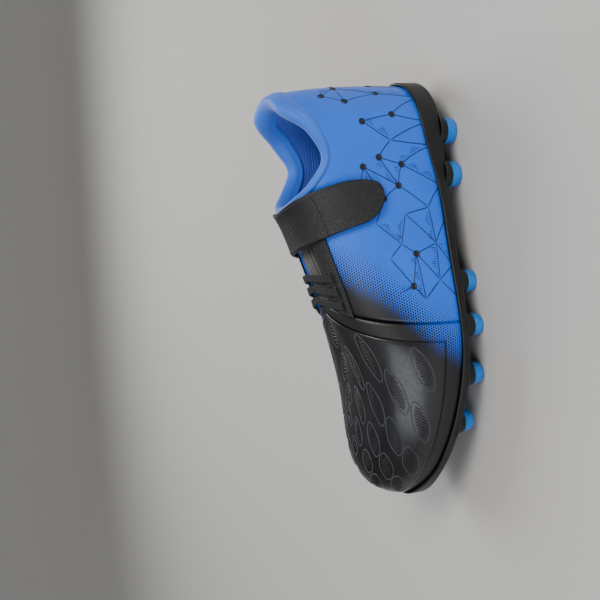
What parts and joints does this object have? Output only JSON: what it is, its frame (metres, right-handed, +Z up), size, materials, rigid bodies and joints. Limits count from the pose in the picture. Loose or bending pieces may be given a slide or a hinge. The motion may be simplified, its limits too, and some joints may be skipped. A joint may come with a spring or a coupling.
{
  "type": "soccer cleat",
  "caption": "Low-cut moulded-stud football boot for the left foot, with a padded collar, elastic lacing and a hook-and-loop instep strap that opens.",
  "frame": {"origin": "centre of the whole boot's bounding box in plan, on the plane of the rear ten stud ends", "axes": "+Z up, +Y towards the heel, -Y towards the toe, +X towards the outer (lateral) side of a left foot"},
  "size_m": [0.0812, 0.212, 0.0899],
  "materials": {
    "plate_tpu": "injection-moulded polyurethane, fine texture, soft sheen",
    "stud_blue": "moulded polyurethane, smooth, slightly scuffed at the ends",
    "board_fibre": "pressed fibre board, matt",
    "footbed_foam": "die-cut foam with a brushed textile top",
    "stiffener_sheet": "thermoformed stiffener sheet",
    "lining_textile": "plain warp-knit lining",
    "lining_knit": "ribbed knit lining, royal blue",
    "collar_foam": "open-cell foam",
    "upper_blue": "coated synthetic, satin, printed line network",
    "upper_faded": "coated synthetic, satin, dot-printed fade from blue to black",
    "overlay_film": "fused gloss film with raised ribs",
    "panel_knit": "stretch knit over thin foam",
    "eyestay_black": "coated synthetic, matt black",
    "elastic_cord": "flat woven elastic",
    "binding_blue": "soft coated binding rolled over foam",
    "strap_black": "coated synthetic strap, stitched edge",
    "hook_and_loop": "hook-and-loop tape"
  },
  "bodies": {
    "shoe": {"outsole_plate": "plate_tpu", "forefoot_lateral_stud_end_1": "stud_blue", "forefoot_lateral_stud_end_2": "stud_blue", "forefoot_lateral_stud_end_3": "stud_blue", "forefoot_lateral_stud_end_4": "stud_blue", "forefoot_medial_stud_end_1": "stud_blue", "forefoot_medial_stud_end_2": "stud_blue", "forefoot_medial_stud_end_3": "stud_blue", "forefoot_medial_stud_end_4": "stud_blue", "heel_lateral_stud_end_1": "stud_blue", "heel_lateral_stud_end_2": "stud_blue", "heel_medial_stud_end_1": "stud_blue", "heel_medial_stud_end_2": "stud_blue", "insole_board": "board_fibre", "sockliner": "footbed_foam", "heel_counter": "stiffener_sheet", "toe_puff": "stiffener_sheet", "vamp_lining": "lining_textile", "collar_lining": "lining_knit", "collar_foam": "collar_foam", "lateral_quarter": "upper_blue", "medial_quarter": "upper_blue", "vamp": "upper_faded", "toe_overlay": "overlay_film", "instep_panel": "panel_knit", "lateral_eyestay": "eyestay_black", "medial_eyestay": "eyestay_black", "elastic_lace": "elastic_cord", "collar_binding": "binding_blue", "loop_pad": "hook_and_loop", "strap_anchor": "strap_black"},
    "strap": {"strap": "strap_black"},
    "strap_end": {"strap_tab": "strap_black", "hook_pad": "hook_and_loop"}
  },
  "joints": [
    {"name": "strap_open", "type": "hinge", "parent": "shoe", "child": "strap", "pos_m": [-0.02198, 0.03344, 0.07221], "axis": [0.0043, -0.9519, -0.3062], "range_deg": [0, 130]},
    {"name": "strap_end_peel", "type": "hinge", "parent": "strap", "child": "strap_end", "pos_m": [0.02232, 0.04065, 0.07489], "axis": [0.0042, -0.9179, -0.3969], "range_deg": [0, 60]}
  ]
}
